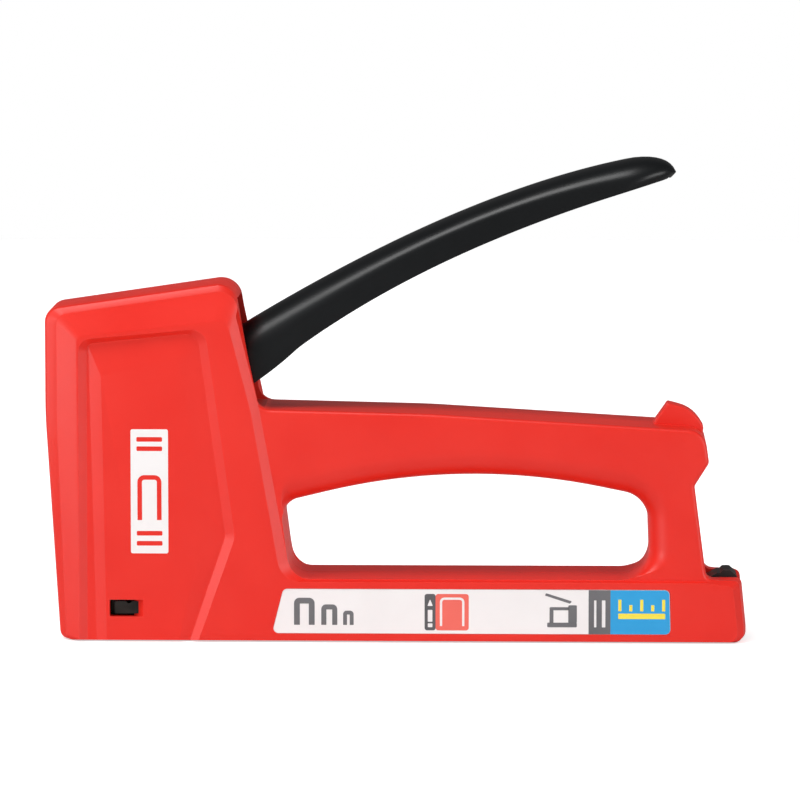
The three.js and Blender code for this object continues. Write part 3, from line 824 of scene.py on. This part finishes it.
def cutScrews(side):
    for number in range(1, 6):
        node = f"case_screw_{number}"
        low, high = boxOf(node)
        x, z = middleOf(node, 0, 2)
        boolean(side, rod("sink", (x, halfWidth, z), (high[0] - low[0]) / 2 + 0.3, shell["screwSink"]))


def makeCasings(material):
    side = makeSide()
    cutPocket(side)
    cutInside(side)
    casingLeft = mirrored(side, "casingLeft")
    side.name = "casingRight"
    cutScrews(side)
    for obj in (side, casingLeft):
        smooth(obj, 14)
    finishPiece(casingLeft, "body", material, "red_body", "casing_left")
    finishPiece(side, "body", material, "red_body", "casing_right")


makeCasings(paint["redPlastic"])
print("body halves made")


# squeeze lever
leverLow, leverHigh = boxOf("squeeze_lever")
pinLow, pinHigh = boxOf("lever_pivot_pin")
lever = {
    "half": leverHigh[1],
    "sheet": 1.5,
    "shoulder": 9,
    "stations": 60,
    "shoulderSteps": 9,
    "tipRound": 6.4,
    "tipX": leverHigh[0],
    "top": [(-44, 78.1), (15, 114.7), (60.1, 123.7)],
    "nose": [(60.1, 123.7), (69.5, 125.1), (71.7, 120.2)],
    "noseShare": 0.14,
    "rootShare": 0.17,
    "root": [(-44, 61.6), (-33.6, 67.2), (-24.8, 75.5)],
    "under": [(-24.8, 75.5), (12, 102.4), (70.4, 118.9)],
    "boss": 7.5,
    "pinRoom": 0.3,
    "hollowStart": -0.03,
    "hollowEnd": 0.965,
    "openBelow": 4,
    "stopRoom": 0.25,
    "travel": 29,
}


def quadratic(points, t):
    a, b, c = (Vector(point) for point in points)
    return a * (1 - t) ** 2 + b * 2 * t * (1 - t) + c * t * t


def leverStation(s):
    # top point, underside point and half width at a share of the length
    if s < 1 - lever["noseShare"]:
        top = quadratic(lever["top"], s / (1 - lever["noseShare"]))
    else:
        top = quadratic(lever["nose"], (s - 1 + lever["noseShare"]) / lever["noseShare"])
    if s < lever["rootShare"]:
        under = quadratic(lever["root"], s / lever["rootShare"])
    else:
        under = quadratic(lever["under"], (s - lever["rootShare"]) / (1 - lever["rootShare"]))
    past = max(0, top.x - (lever["tipX"] - lever["tipRound"]))
    narrow = lever["tipRound"] - math.sqrt(max(0, lever["tipRound"] ** 2 - past ** 2))
    return top, under, lever["half"] - narrow


def leverRings(start, end, inset, below):
    rings = []
    for i in range(lever["stations"] + 1):
        s = start + (end - start) * i / lever["stations"]
        top, under, half = leverStation(max(0, s))
        down = under - top
        depth = down.length
        down.normalize()
        top = top + down * inset
        if s < 0:
            along = (Vector(lever["top"][1]) - Vector(lever["top"][0])).normalized()
            top = top + along * s * 100
        half = max(half - inset, 1)
        radius = min(lever["shoulder"], 0.8 * depth) - inset
        radius = max(0.3, min(radius, half - 0.2))
        points = []
        turns = lever["shoulderSteps"]
        for side in (-1, 1):
            for step in range(turns + 1):
                angle = math.pi / 2 * (step if side < 0 else turns - step) / turns
                reach = side * (half - radius + radius * math.cos(angle))
                points.append((reach, radius * (1 - math.sin(angle))))
        foot = depth - inset + below
        points = [(-half, foot)] + points + [(half, foot)]
        place = lambda u, v, top=top, down=down: (top.x + down.x * v, u, top.y + down.y * v)
        rings.append((place, points))
    return rings


def stopRelief(pivotX, pivotZ):
    # room inside the tip for the stop hump when the lever is squeezed
    stop = offsetPoints(anticlockwise(arcCorners(humpCorners)), lever["stopRoom"])
    turn = math.radians(lever["travel"])
    outline = []
    for x, z in stop:
        x, z = x - pivotX, z - pivotZ
        backX = x * math.cos(turn) - z * math.sin(turn)
        backZ = x * math.sin(turn) + z * math.cos(turn)
        outline.append((backX + pivotX, backZ + pivotZ))
    reach = shell["humpHalf"] + lever["stopRoom"]
    return slabRings("relief", [(-reach, outline), (reach, outline)])


def makeLever():
    piece = stackRings("squeezeLever", leverRings(0, 1, 0, 0))
    hollow = leverRings(lever["hollowStart"], lever["hollowEnd"], lever["sheet"], lever["openBelow"])
    boolean(piece, stackRings("hollow", hollow))
    pivotX, pivotZ = middleOf("lever_pivot_pin", 0, 2)
    fork = leverLow[0]
    arm = [
        (fork, pivotZ - 9, 1.9), (pivotX, pivotZ - 6.6, 4),
        (pivotX + 6, pivotZ - 6, 1), (pivotX + 6, pivotZ + 8, 1),
        (pivotX - 2, pivotZ + 6.6, 4), (fork + 6.8, pivotZ - 5, 6),
        (fork, pivotZ - 5, 1.9),
    ]
    inner = lever["half"] - lever["sheet"]
    for side in (-1, 1):
        near, far = sorted((side * inner, side * lever["half"]))
        boolean(piece, prism("arm", arm, near, far, 8), "UNION")
        centre = (pivotX, (near + far) / 2, pivotZ)
        boolean(piece, rod("boss", centre, lever["boss"], lever["sheet"], segments=64), "UNION")
    pinRadius = (pinHigh[0] - pinLow[0]) / 2
    boolean(piece, rod("bore", (pivotX, 0, pivotZ), pinRadius + lever["pinRoom"], 40))
    boolean(piece, stopRelief(pivotX, pivotZ))
    smooth(piece, 40)
    finishPiece(piece, "lever", paint["leverBlack"], "lever_black", "squeeze_lever")


makeLever()
print("lever made")


# springs, wound as helices with closed ends
def coilSpring(name, centre, axis, start, end, outer, wire, turns, stepsPerTurn, sides):
    low, high = start + wire / 2, end - wire / 2
    radius = (outer - wire) / 2
    steps = round(turns * stepsPerTurn)
    closed = 1.0
    section = [
        (wire / 2 * math.cos(2 * math.pi * i / sides), wire / 2 * math.sin(2 * math.pi * i / sides))
        for i in range(sides)
    ]
    free = turns - 2 * closed
    pitch = (high - low - 2 * wire * closed) / free
    rings = []
    for i in range(steps + 1):
        turn = turns * i / steps
        along = low + wire * min(turn, closed)
        along += pitch * min(max(turn - closed, 0), free)
        along += wire * max(turn - closed - free, 0)
        angle = 2 * math.pi * turn
        outward = Vector((math.cos(angle), math.sin(angle)))

        def place(u, v, along=along, outward=outward):
            a, b = outward * (radius + u)
            if axis == "Z":
                return (centre[0] + a, centre[1] + b, along + v)
            return (along + v, centre[0] + a, centre[1] + b)
        rings.append((place, section))
    piece = stackRings(name, rings)
    smooth(piece, 50)
    return piece


springs = {
    "mainSpring": {
        "node": "main_spring", "body": "body", "axis": "Z",
        "turns": 9, "wire": 1.6, "steps": 28, "sides": 12,
        "joint": "driver_lift", "keep": 0.657, "fixedEnd": "high",
    },
    "followerSpring": {
        "node": "follower_spring", "body": "rail", "axis": "X",
        "turns": 24, "wire": 0.8, "steps": 18, "sides": 8,
        "joint": "follower_feed", "keep": 0.37, "fixedEnd": "high",
    },
    "catchSpring": {
        "node": "catch_spring", "body": "rail", "axis": "Z",
        "turns": 6, "wire": 0.6, "steps": 20, "sides": 8,
        "joint": "catch_press", "keep": 0.66, "fixedEnd": "low",
    },
}


def makeSprings():
    for name, s in springs.items():
        low, high = boxOf(s["node"])
        upright = s["axis"] == "Z"
        along = 2 if upright else 0
        centre = middleOf(s["node"], *((0, 1) if upright else (1, 2)))
        start, end, outer = low[along], high[along], high[1] - low[1]
        piece = coilSpring(
            name, centre, s["axis"], start, end, outer, s["wire"], s["turns"], s["steps"], s["sides"],
        )
        finishPiece(piece, s["body"], paint["springSteel"], "spring_steel", s["node"])
        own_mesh(piece)


makeSprings()
print("springs made")


# screws
screw = {
    "headDepth": 1.8,
    "headRound": 0.7,
    "shankRadius": 1.5,
    "crossLong": 3.3,
    "crossWide": 0.75,
    "crossDeep": 1.1,
    "turnEach": 23,
}


def turned(name, profile, segments=48):
    # round piece along Y, from rings of (place, radius)
    rings = []
    for y, radius in profile:
        angles = [2 * math.pi * i / segments for i in range(segments)]
        rings.append((y, [(radius * math.cos(angle), radius * math.sin(angle)) for angle in angles]))
    return slabRings(name, rings)


def makeScrews():
    low, high = boxOf("case_screw_1")
    head, top, foot = (high[0] - low[0]) / 2, high[1], low[1]
    seat, shank, rounding = top - screw["headDepth"], screw["shankRadius"], screw["headRound"]
    profile = [
        (foot, 0.5),
        (foot + 1.6, shank),
        (seat - 0.001, shank),
        (seat, head - 0.15),
        (seat + 0.15, head),
    ]
    turns = 6
    for step in range(1, turns + 1):
        angle = math.pi / 2 * step / turns
        radius = head - rounding * 1.6 * (1 - math.cos(angle))
        profile.append((top - rounding + rounding * math.sin(angle), radius))
    profile.append((top - 0.02, 0.6))
    first = turned("screw", profile)
    half, wide = screw["crossLong"] / 2, screw["crossWide"] / 2
    for long, short in ((half, wide), (wide, half)):
        points = anticlockwise(arcCorners(rectangle(-long, long, -short, short, 0.1), 3))
        narrowed = [(x * 0.7, z * 0.7) for x, z in points]
        boolean(first, slabRings("cross", [(top - screw["crossDeep"], narrowed), (top + 1, points)]))
    smooth(first, 35)
    for number in range(1, 6):
        node = f"case_screw_{number}"
        x, z = middleOf(node, 0, 2)
        piece = copied(first, f"caseScrew{number}")
        piece.location = Vector((x, 0, z)) * mm
        pick(piece)
        bpy.ops.transform.rotate(
            value=math.radians(screw["turnEach"] * number),
            orient_axis="Y",
            center_override=tuple(piece.location),
        )
        settle(piece)
        finishPiece(piece, "body", paint["zincSteel"], "steel", node)
    bpy.data.objects.remove(first)


makeScrews()
print("screws made")


# magazine: channel, rail, follower, rod
def sheetChannel(name, x0, x1, half, bottom, top, sheet, bend):
    # pressed U section, open below, drawn along X
    corners = [
        (-half, bottom, 0.1), (-half + sheet, bottom, 0.1),
        (-half + sheet, top - sheet, max(bend - sheet, 0.1)),
        (half - sheet, top - sheet, max(bend - sheet, 0.1)),
        (half - sheet, bottom, 0.1), (half, bottom, 0.1),
        (half, top, bend), (-half, top, bend),
    ]
    points = arcCorners(corners, 6)
    rings = [((lambda u, v, x=x: (x, u, v)), points) for x in (x0, x1)]
    return stackRings(name, rings)


magazine = {
    "half": 7.0,
    "sheet": 1.0,
    "bend": 1.8,
    "lugStart": nose + 17.9,
    "lugEnd": nose + 24.3,
    "lugFoot": 7.1,
    "lugTop": 10.3,
    "notch": (nose + 21.6, 0, 10.5),
    "notchRadius": 0.75,
    "slots": (-44, -8, 28),
    "slotLength": 16,
    "slotFoot": 6,
    "slotTop": 9,
}
rail = {
    "sheet": 0.8,
    "bend": 1.4,
    "slotHalf": 1.6,
    "slotEnd": 60,
    "windows": (-50, -14, 22),
    "windowLength": 20,
    "windowFoot": 3.5,
    "windowTop": 8,
}
pusher = {
    "foot": 1.5,
    "sheet": 0.8,
    "bend": 1.4,
    "webHalf": 1.3,
    "webFoot": 5.6,
    "sleeveRadius": 3,
    "sleeveLength": 9,
    "sleeveCentre": 6.8,
}
rodHole = {"height": 4.6, "radius": 1.6}


def makeChannel():
    s = magazine
    low, high = boxOf("magazine_channel")
    channel = sheetChannel(
        "magazineChannel", low[0], high[0], s["half"], low[2], high[2], s["sheet"], s["bend"],
    )
    lug = rectangle(s["lugStart"], s["lugEnd"], s["lugFoot"], s["lugTop"], 0.5)
    for side in (-1, 1):
        near, far = sorted((side * (s["half"] - 0.6), side * high[1]))
        boolean(channel, prism("lug", lug, near, far, 6), "UNION")
    boolean(channel, rod("notch", s["notch"], s["notchRadius"], 40, segments=24))
    # pressed slots along each wall
    for x in s["slots"]:
        slot = rectangle(x, x + s["slotLength"], s["slotFoot"], s["slotTop"], 1.4)
        boolean(channel, prism("slot", slot, -20, 20, 8))
    smooth(channel)
    finishPiece(channel, "body", paint["darkSteel"], "dark_steel", "magazine_channel")


def makeRail():
    s = rail
    low, high = boxOf("magazine_rail")
    piece = sheetChannel(
        "magazineRail", low[0], high[0], high[1], low[2], high[2], s["sheet"], s["bend"],
    )
    inner = high[1] - 0.3
    wall = box("wall", low[0], low[0] + 1.4, -inner, inner, low[2] + 1, high[2] - 0.4)
    boolean(piece, wall, "UNION")
    boolean(piece, rod("hole", (low[0], 0, rodHole["height"]), rodHole["radius"], 6, "X", 32))
    points = arcCorners(rectangle(low[0] + 1.5, s["slotEnd"], -s["slotHalf"], s["slotHalf"], 1.4), 8)
    rings = [((lambda u, v, z=z: (u, v, z)), points) for z in (10, 14)]
    boolean(piece, stackRings("railSlot", rings))
    for x in s["windows"]:
        window = rectangle(x, x + s["windowLength"], s["windowFoot"], s["windowTop"], 1.2)
        boolean(piece, prism("railWindow", window, -20, 20, 8))
    smooth(piece)
    finishPiece(piece, "rail", paint["zincSteel"], "steel", "magazine_rail")


def makePusher():
    s = pusher
    low, high = boxOf("follower")
    start, half, foot = low[0], s["webHalf"], s["webFoot"]
    saddle = sheetChannel("staplePusher", start, high[0], high[1], s["foot"], high[2], s["sheet"], s["bend"])
    boolean(saddle, box("web", start + 2.3, start + 11.3, -half, half, foot, high[2] - 0.4), "UNION")
    axis = (start + s["sleeveCentre"], 0, rodHole["height"])
    boolean(saddle, rod("sleeve", axis, s["sleeveRadius"], s["sleeveLength"], "X"), "UNION")
    boolean(saddle, rod("sleeveBore", axis, rodHole["radius"], 12, "X", 32))
    smooth(saddle)
    finishPiece(saddle, "follower", paint["darkSteel"], "dark_steel", "follower")


makeChannel()
makeRail()
makePusher()
print("magazine made")


# pusher grip and rear catch
tailGrip = {
    "edge": 0.5,
    "troughFloor": 6.6,
    "troughRoom": 0.3,
    "pinHole": 1.3,
    "springPocket": 2.3,
    "pocketPlace": 5.3,
    "pocketDepth": 4.6,
    "ribs": 6,
    "ribFirst": 2.4,
    "ribFoot": 2.5,
    "ribTop": 11.5,
    "ribPitch": 2.0,
    "ribDepth": 0.45,
    "ribWidth": 0.9,
}
catchShape = {"barrel": 2.6, "pinBore": 1.5, "ribs": 4, "ribPitch": 2.13, "ribHalf": 0.28}


def bevelEdges(obj, width, segments=3, degrees=40):
    modifier = obj.modifiers.new("edges", "BEVEL")
    modifier.limit_method = "ANGLE"
    modifier.angle_limit = math.radians(degrees)
    modifier.width = width * mm
    modifier.segments = segments
    applyModifiers(obj)


def makePusherGrip():
    s = tailGrip
    low, high = boxOf("pusher_grip")
    block = box("pusherGrip", low[0], high[0], low[1], high[1], low[2], high[2])
    bevelEdges(block, s["edge"])
    _, catchHigh = boxOf("rear_catch")
    trough = catchHigh[1] + s["troughRoom"]
    floor = s["troughFloor"]
    boolean(block, box("trough", low[0] + 0.8, high[0] + 1, -trough, trough, floor, high[2] + 1))
    boolean(block, rod("rodHole", (low[0] + 3, 0, rodHole["height"]), rodHole["radius"], 12, "X", 32))
    pinX, pinZ = middleOf("catch_pin", 0, 2)
    boolean(block, rod("pinHole", (pinX, 0, pinZ), s["pinHole"], 30, segments=32))
    springX, = middleOf("catch_spring", 0)
    pocket = rod("pocket", (springX, 0, s["pocketPlace"]), s["springPocket"], s["pocketDepth"], "Z", 32)
    boolean(block, pocket)
    for i in range(s["ribs"]):
        x = high[0] - s["ribFirst"] - i * s["ribPitch"]
        for side in (-1, 1):
            near, far = sorted((side * (high[1] - s["ribDepth"]), side * (high[1] + 1)))
            groove = rectangle(x - s["ribWidth"], x, s["ribFoot"], s["ribTop"], 0.4)
            boolean(block, prism("groove", groove, near, far, 4))
    smooth(block)
    finishPiece(block, "rail", paint["blackPlastic"], "black_plastic", "pusher_grip")


def makeCatch():
    s = catchShape
    low, high = boxOf("rear_catch")
    x0, z0 = middleOf("catch_pin", 0, 2)
    rear, top = high[0], high[2]
    arm = [
        (x0, z0 - 2.2, 1.2), (x0 + 8.5, z0 + 0.4, 2),
        (rear, z0 + 3.2, 0.8), (rear, top - 1.5, 0.7),
        (rear - 1.8, top + 0.05, 0.6), (rear - 3.6, top + 0.05, 0.5),
        (rear - 4.3, top - 0.7, 0.2), (rear - 5.0, top - 0.7, 0.4),
        (rear - 8.8, top - 2.7, 1.0), (x0, 12.0, 1.5),
    ]
    catch = prism("rearCatch", arm, low[1], high[1], 6)
    tooth = [
        (x0 + 4.4, z0, 0.1), (x0 + 6.9, z0, 0.1),
        (x0 + 6.9, 15.5, 0.3), (x0 + 5.7, 15.5, 0.3),
        (x0 + 4.4, 13.2, 0.2),
    ]
    boolean(catch, prism("tooth", tooth, low[1] + 0.4, high[1] - 0.4), "UNION")
    barrelLength = high[1] - low[1] - 0.02
    boolean(catch, rod("barrel", (x0, 0, z0), s["barrel"], barrelLength, segments=40), "UNION")
    boolean(catch, rod("pinBore", (x0, 0, z0), s["pinBore"], 30, segments=32))
    # fine ribs over the thumb pad
    for i in range(s["ribs"]):
        y = -3.2 + i * s["ribPitch"]
        near, far = y - s["ribHalf"], y + s["ribHalf"]
        boolean(catch, box("rib", rear - 6.6, rear + 1, near, far, top - 0.5, top + 1))
    smooth(catch)
    finishPiece(catch, "catch", paint["blackPlastic"], "black_plastic", "rear_catch")


makePusherGrip()
makeCatch()
print("rear catch made")


# printed labels and badge
printing = {"lift": 0.004, "thick": 0.03}


def sideTag(side):
    return "Left" if side < 0 else "Right"


def printed(name, outlines, y, side, material, holes=()):
    # flat shapes a hair proud of what they are printed on, joined in one piece
    near, far = sorted((side * (y + printing["lift"]), side * (y + printing["thick"])))
    deselectAll()
    parts = [prism(name, corners, near, far, 5) for corners in outlines]
    piece = parts[0]
    pick(piece)
    for part in parts[1:]:
        part.select_set(True)
    if len(parts) > 1:
        bpy.ops.object.join()
    for corners in holes:
        boolean(piece, prism("hole", corners, near - 1, far + 1, 5))
    smooth(piece)
    piece.name = name + sideTag(side)
    finishPiece(piece, "body", paint[material], "label")


def stapleSign(x0, x1, z0, z1, line, radius=0.8):
    # an open staple standing on its legs
    return [
        (x0, z0, 0.05), (x0 + line, z0, 0.05),
        (x0 + line, z1 - line, max(radius - line, 0.1)),
        (x1 - line, z1 - line, max(radius - line, 0.1)),
        (x1 - line, z0, 0.05), (x1, z0, 0.05),
        (x1, z1, radius), (x0, z1, radius),
    ]


scaleStart, scalePitch = 57.2, 2.8
scaleBars = [rectangle(scaleStart, 69.2, 6.4, 7.8, 0.1)]
for number in range(5):
    barStart = scaleStart + scalePitch * number
    scaleBars.append(rectangle(barStart, barStart + 0.8, 8.4, 10 if number % 2 else 11.4, 0.1))
bandFoot, bandTop = labelLow[2] + 0.05, labelHigh[2] - 0.1

# what is printed on the label: material, shapes and the holes in them
labelPrints = {
    "sizeSigns": {
        "material": "printGrey",
        "shapes": [
            stapleSign(-25.9, -20.6, 4.6, 11.6, 1.5, 1.4),
            stapleSign(-18.9, -14.8, 4.6, 9.9, 1.3, 1.2),
            stapleSign(-13.3, -10.6, 4.6, 8.3, 1.0, 0.9),
        ],
    },
    "gaugeStrip": {
        "material": "printDark",
        "shapes": [rectangle(7.6, 10.4, 3.3, 12.7, 0.6)],
        "holes": [
            rectangle(8.4, 9.6, 4.1, 5.1),
            rectangle(8.4, 9.6, 5.5, 8.6),
            [(8.3, 9.6, 0.1), (9.7, 9.6, 0.1), (9, 11.4, 0.1)],
        ],
    },
    "stapleTile": {
        "material": "printCoral",
        "shapes": [rectangle(10.4, 18.9, 3.3, 12.7, 0.7)],
        "holes": [stapleSign(11.5, 17.8, 4.4, 11.8, 0.6, 1.2)],
    },
    "toolSign": {
        "material": "printGrey",
        "shapes": [
            rectangle(39.0, 46.6, 4.2, 5.4, 0.3),
            rectangle(44.4, 46.6, 5.3, 9.9, 0.3),
            rectangle(39.6, 44.6, 8.6, 9.4, 0.3),
            rectangle(39.6, 40.6, 5.3, 8.7, 0.2),
            [(38.4, 12.4, 0.2), (44.8, 10.3, 0.2), (45.4, 10.9, 0.2), (38.7, 13.0, 0.2)],
        ],
    },
    "greyBand": {
        "material": "printGrey",
        "shapes": [rectangle(49.6, 55.2, bandFoot, bandTop, 0.05)],
        "holes": [rectangle(51.0, 51.6, 4.2, 11.2), rectangle(53.0, 53.9, 4.2, 11.2)],
    },
    "blueBlock": {
        "material": "printBlue",
        "shapes": [[
            (55.2, bandFoot, 0.05), (labelHigh[0] - 0.1, bandFoot, 1.2),
            (labelHigh[0] - 0.4, bandTop, 1.2), (55.2, bandTop, 0.05),
        ]],
        "holes": scaleBars,
    },
    "yellowScale": {"material": "printYellow", "shapes": scaleBars},
}


def makeLabel(side):
    node = "label_left" if side < 0 else "label_right"
    low, high = boxOf(node)
    top = max(abs(low[1]), abs(high[1]))
    x0, x1, z0, z1 = low[0], high[0], low[2], high[2]
    bed = halfWidth - shell["labelRecess"]
    edge = [(x0, z0, 1.3), (x1, z0, 1.3), (x1 - 0.3, z1, 1.3), (x0 + labelSlant, z1, 1.3)]
    points = anticlockwise(arcCorners(edge, 7))
    levels = [(bed + 0.005, points), (top - 0.05, points), (top, offsetPoints(points, -0.06))]
    film = slabRings("label" + sideTag(side), [(side * y, ring) for y, ring in levels])
    smooth(film)
    finishPiece(film, "body", paint["labelFilm"], "label", node)
    for name, s in labelPrints.items():
        printed(name, s["shapes"], top, side, s["material"], s.get("holes", ()))


badge = {"start": -67.7, "end": -58.1, "foot": 22.9, "top": 54.9, "barInset": 1.5, "barHeight": 1.2}


def makeBadge(side):
    s = badge
    x0, x1, z0, z1 = s["start"], s["end"], s["foot"], s["top"]
    middle, inset = (z0 + z1) / 2, s["barInset"]
    bars = (z0 + 2.0, z0 + 4.6, z1 - 5.6, z1 - 3.2)
    holes = [rectangle(x0 + inset, x1 - inset, z, z + s["barHeight"], 0.3) for z in bars]
    holes.insert(2, stapleSign(x0 + 1.7, x1 - 1.7, middle - 7.4, middle + 4.2, 1.2, 1.8))
    plate = halfWidth - shell["panelDepth"]
    printed("headBadge", [rectangle(x0, x1, z0, z1, 0.5)], plate, side, "labelFilm", holes)


for side in (-1, 1):
    makeLabel(side)
    makeBadge(side)
print("labels made")


# finishes of the pieces that keep their first shape
keptFinishes = {
    "zincSteel": (
        "lever_pivot_pin", "lever_spacer", "driver_blade", "driver_rivet",
        "spring_seat", "guide_rod", "catch_pin",
    ),
    "darkSteel": ("plunger", "nose_plate"),
    "rubber": ("shock_absorber",),
}


def finishKeptNodes():
    for finish, names in keptFinishes.items():
        for name in names:
            dress(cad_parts[name], paint[finish])


finishKeptNodes()
print("kept pieces finished")
